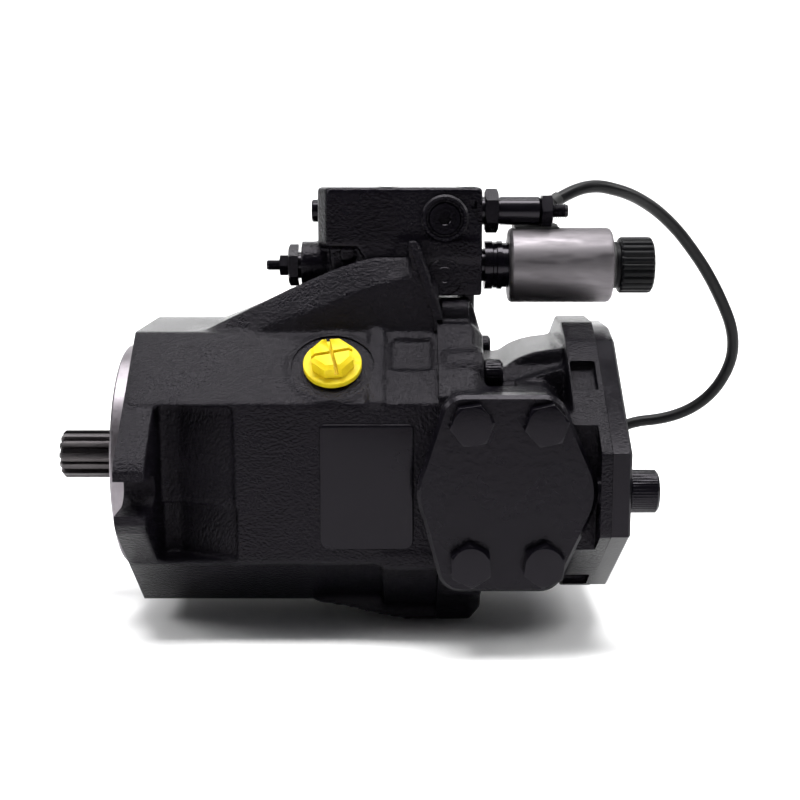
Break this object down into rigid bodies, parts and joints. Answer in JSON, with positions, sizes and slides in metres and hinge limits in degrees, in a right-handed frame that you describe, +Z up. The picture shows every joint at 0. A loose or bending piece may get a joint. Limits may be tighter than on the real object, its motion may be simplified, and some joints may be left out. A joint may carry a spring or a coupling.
{
  "type": "axial piston pump",
  "caption": "Swash-plate axial piston pump with a two-bolt flange, splined shaft, top control valve with solenoid, and side ports.",
  "frame": {"origin": "centre of the mounting pilot at the mounting face, on the shaft axis", "axes": "+X along the shaft towards the rear cover, +Z up towards the control valve, -Y is the side with the suction port"},
  "size_m": [0.334, 0.199, 0.1976],
  "materials": {
    "black_paint": "gloss enamel over cast iron",
    "bright_steel": "zinc plated, satin",
    "shaft_steel": "ground and hardened",
    "cast_block": "machined",
    "bronze": "turned bronze",
    "black_steel": "black oxide",
    "yellow_plastic": "moulded polyethylene",
    "black_plastic": "moulded nylon",
    "seal_rubber": "nitrile",
    "cable_jacket": "smooth sleeve"
  },
  "bodies": {
    "pump_case": {"pump_housing": "black_paint", "port_plate": "black_paint", "housing_screws": "black_paint", "suction_cover": "black_paint", "suction_cover_bolts": "black_paint", "through_drive_cover": "black_paint", "through_drive_screws": "black_paint", "static_seal_rings": "seal_rubber", "drain_port_cap": "yellow_plastic", "front_bearing_cup": "shaft_steel", "rear_bearing_cup": "shaft_steel", "shaft_seal": "seal_rubber", "valve_plate": "bronze", "swash_plate": "cast_block", "cradle_bearings": "bronze", "control_piston": "shaft_steel", "bias_piston": "shaft_steel", "bias_spring": "bright_steel", "valve_body": "black_paint", "valve_body_screws": "black_paint", "socket_plugs": "black_paint", "pressure_spring": "bright_steel", "pressure_adjuster_sleeve": "black_steel", "pilot_adjuster_plug": "black_steel", "adjuster_lock_nuts": "black_steel", "solenoid_tube": "black_steel", "solenoid_coil": "bright_steel", "coil_cable": "cable_jacket", "cable_connector": "black_plastic"},
    "rotor": {"drive_shaft": "shaft_steel", "front_bearing_cone": "shaft_steel", "rear_bearing_cone": "shaft_steel", "cylinder_block": "cast_block", "retaining_ball": "shaft_steel", "block_spring": "bright_steel"},
    "roller_sets": {"bearing_rollers": "shaft_steel"},
    "slipper_plate": {"retaining_plate": "shaft_steel"},
    "slipper_1_body": {"slipper_1": "bronze"},
    "piston_1_body": {"piston_1": "shaft_steel"},
    "slipper_2_body": {"slipper_2": "bronze"},
    "piston_2_body": {"piston_2": "shaft_steel"},
    "slipper_3_body": {"slipper_3": "bronze"},
    "piston_3_body": {"piston_3": "shaft_steel"},
    "slipper_4_body": {"slipper_4": "bronze"},
    "piston_4_body": {"piston_4": "shaft_steel"},
    "slipper_5_body": {"slipper_5": "bronze"},
    "piston_5_body": {"piston_5": "shaft_steel"},
    "slipper_6_body": {"slipper_6": "bronze"},
    "piston_6_body": {"piston_6": "shaft_steel"},
    "slipper_7_body": {"slipper_7": "bronze"},
    "piston_7_body": {"piston_7": "shaft_steel"},
    "slipper_8_body": {"slipper_8": "bronze"},
    "piston_8_body": {"piston_8": "shaft_steel"},
    "slipper_9_body": {"slipper_9": "bronze"},
    "piston_9_body": {"piston_9": "shaft_steel"},
    "upper_spool": {"pressure_spool": "bright_steel"},
    "upper_screw": {"pressure_adjusting_screw": "black_steel"},
    "lower_screw": {"pilot_adjusting_screw": "black_steel"},
    "plunger": {"solenoid_plunger": "bright_steel"},
    "knob": {"coil_nut": "black_plastic"}
  },
  "joints": [
    {"name": "shaft_spin", "type": "hinge", "parent": "pump_case", "child": "rotor", "pos_m": [0, 0, 0], "axis": [1, 0, 0], "continuous": true},
    {"name": "roller_orbit", "type": "hinge", "parent": "pump_case", "child": "roller_sets", "pos_m": [0, 0, 0], "axis": [1, 0, 0], "continuous": true},
    {"name": "plate_spin", "type": "hinge", "parent": "pump_case", "child": "slipper_plate", "pos_m": [0.052, 0, 0], "axis": [0.9636, 0, -0.2672], "continuous": true},
    {"name": "slipper_1_turn", "type": "hinge", "parent": "slipper_plate", "child": "slipper_1_body", "pos_m": [0.06017, 0, 0.02945], "axis": [0.9636, 0, -0.2672], "continuous": true},
    {"name": "piston_1_turn", "type": "hinge", "parent": "slipper_1_body", "child": "piston_1_body", "pos_m": [0.06032, 0, 0.03], "axis": [0.9636, 0, -0.2672], "continuous": true},
    {"name": "slipper_2_turn", "type": "hinge", "parent": "slipper_plate", "child": "slipper_2_body", "pos_m": [0.05826, -0.01965, 0.02256], "axis": [0.9636, 0, -0.2672], "continuous": true},
    {"name": "piston_2_turn", "type": "hinge", "parent": "slipper_2_body", "child": "piston_2_body", "pos_m": [0.05837, -0.01928, 0.02298], "axis": [0.9636, 0, -0.2672], "continuous": true},
    {"name": "slipper_3_turn", "type": "hinge", "parent": "slipper_plate", "child": "slipper_3_body", "pos_m": [0.05342, -0.0301, 0.00511], "axis": [0.9636, 0, -0.2672], "continuous": true},
    {"name": "piston_3_turn", "type": "hinge", "parent": "slipper_3_body", "child": "piston_3_body", "pos_m": [0.05344, -0.02954, 0.00521], "axis": [0.9636, 0, -0.2672], "continuous": true},
    {"name": "slipper_4_turn", "type": "hinge", "parent": "slipper_plate", "child": "slipper_4_body", "pos_m": [0.04792, -0.02647, -0.01473], "axis": [0.9636, 0, -0.2672], "continuous": true},
    {"name": "piston_4_turn", "type": "hinge", "parent": "slipper_4_body", "child": "piston_4_body", "pos_m": [0.04784, -0.02598, -0.015], "axis": [0.9636, 0, -0.2672], "continuous": true},
    {"name": "slipper_5_turn", "type": "hinge", "parent": "slipper_plate", "child": "slipper_5_body", "pos_m": [0.04432, -0.01045, -0.02768], "axis": [0.9636, 0, -0.2672], "continuous": true},
    {"name": "piston_5_turn", "type": "hinge", "parent": "slipper_5_body", "child": "piston_5_body", "pos_m": [0.04418, -0.01026, -0.02819], "axis": [0.9636, 0, -0.2672], "continuous": true},
    {"name": "slipper_6_turn", "type": "hinge", "parent": "slipper_plate", "child": "slipper_6_body", "pos_m": [0.04432, 0.01045, -0.02768], "axis": [0.9636, 0, -0.2672], "continuous": true},
    {"name": "piston_6_turn", "type": "hinge", "parent": "slipper_6_body", "child": "piston_6_body", "pos_m": [0.04418, 0.01026, -0.02819], "axis": [0.9636, 0, -0.2672], "continuous": true},
    {"name": "slipper_7_turn", "type": "hinge", "parent": "slipper_plate", "child": "slipper_7_body", "pos_m": [0.04792, 0.02647, -0.01473], "axis": [0.9636, 0, -0.2672], "continuous": true},
    {"name": "piston_7_turn", "type": "hinge", "parent": "slipper_7_body", "child": "piston_7_body", "pos_m": [0.04784, 0.02598, -0.015], "axis": [0.9636, 0, -0.2672], "continuous": true},
    {"name": "slipper_8_turn", "type": "hinge", "parent": "slipper_plate", "child": "slipper_8_body", "pos_m": [0.05342, 0.0301, 0.00511], "axis": [0.9636, 0, -0.2672], "continuous": true},
    {"name": "piston_8_turn", "type": "hinge", "parent": "slipper_8_body", "child": "piston_8_body", "pos_m": [0.05344, 0.02954, 0.00521], "axis": [0.9636, 0, -0.2672], "continuous": true},
    {"name": "slipper_9_turn", "type": "hinge", "parent": "slipper_plate", "child": "slipper_9_body", "pos_m": [0.05826, 0.01965, 0.02256], "axis": [0.9636, 0, -0.2672], "continuous": true},
    {"name": "piston_9_turn", "type": "hinge", "parent": "slipper_9_body", "child": "piston_9_body", "pos_m": [0.05837, 0.01928, 0.02298], "axis": [0.9636, 0, -0.2672], "continuous": true},
    {"name": "upper_spool_slide", "type": "slide", "parent": "pump_case", "child": "upper_spool", "axis": [1, 0, 0], "range_m": [0, 0.002], "stiffness_N_per_m": 2000, "deforming": ["pressure_spring"]},
    {"name": "upper_screw_turn", "type": "hinge", "parent": "pump_case", "child": "upper_screw", "pos_m": [0.17, 0, 0.1125], "axis": [1, 0, 0], "range_deg": [-360, 360]},
    {"name": "lower_screw_turn", "type": "hinge", "parent": "pump_case", "child": "lower_screw", "pos_m": [0.06, 0, 0.088], "axis": [1, 0, 0], "range_deg": [-360, 360]},
    {"name": "plunger_slide", "type": "slide", "parent": "pump_case", "child": "plunger", "axis": [1, 0, 0], "range_m": [-0.0025, 0], "stiffness_N_per_m": 1500},
    {"name": "knob_turn", "type": "hinge", "parent": "pump_case", "child": "knob", "pos_m": [0.22, 0, 0.088], "axis": [1, 0, 0], "range_deg": [0, 1080]}
  ],
  "couplings": [
    {"joint": "roller_orbit", "follows": "shaft_spin", "ratio": 0.445},
    {"joint": "plate_spin", "follows": "shaft_spin", "ratio": 1},
    {"joint": "slipper_1_turn", "follows": "shaft_spin", "ratio": -2},
    {"joint": "piston_1_turn", "follows": "shaft_spin", "ratio": 1},
    {"joint": "slipper_2_turn", "follows": "shaft_spin", "ratio": -2},
    {"joint": "piston_2_turn", "follows": "shaft_spin", "ratio": 1},
    {"joint": "slipper_3_turn", "follows": "shaft_spin", "ratio": -2},
    {"joint": "piston_3_turn", "follows": "shaft_spin", "ratio": 1},
    {"joint": "slipper_4_turn", "follows": "shaft_spin", "ratio": -2},
    {"joint": "piston_4_turn", "follows": "shaft_spin", "ratio": 1},
    {"joint": "slipper_5_turn", "follows": "shaft_spin", "ratio": -2},
    {"joint": "piston_5_turn", "follows": "shaft_spin", "ratio": 1},
    {"joint": "slipper_6_turn", "follows": "shaft_spin", "ratio": -2},
    {"joint": "piston_6_turn", "follows": "shaft_spin", "ratio": 1},
    {"joint": "slipper_7_turn", "follows": "shaft_spin", "ratio": -2},
    {"joint": "piston_7_turn", "follows": "shaft_spin", "ratio": 1},
    {"joint": "slipper_8_turn", "follows": "shaft_spin", "ratio": -2},
    {"joint": "piston_8_turn", "follows": "shaft_spin", "ratio": 1},
    {"joint": "slipper_9_turn", "follows": "shaft_spin", "ratio": -2},
    {"joint": "piston_9_turn", "follows": "shaft_spin", "ratio": 1}
  ]
}
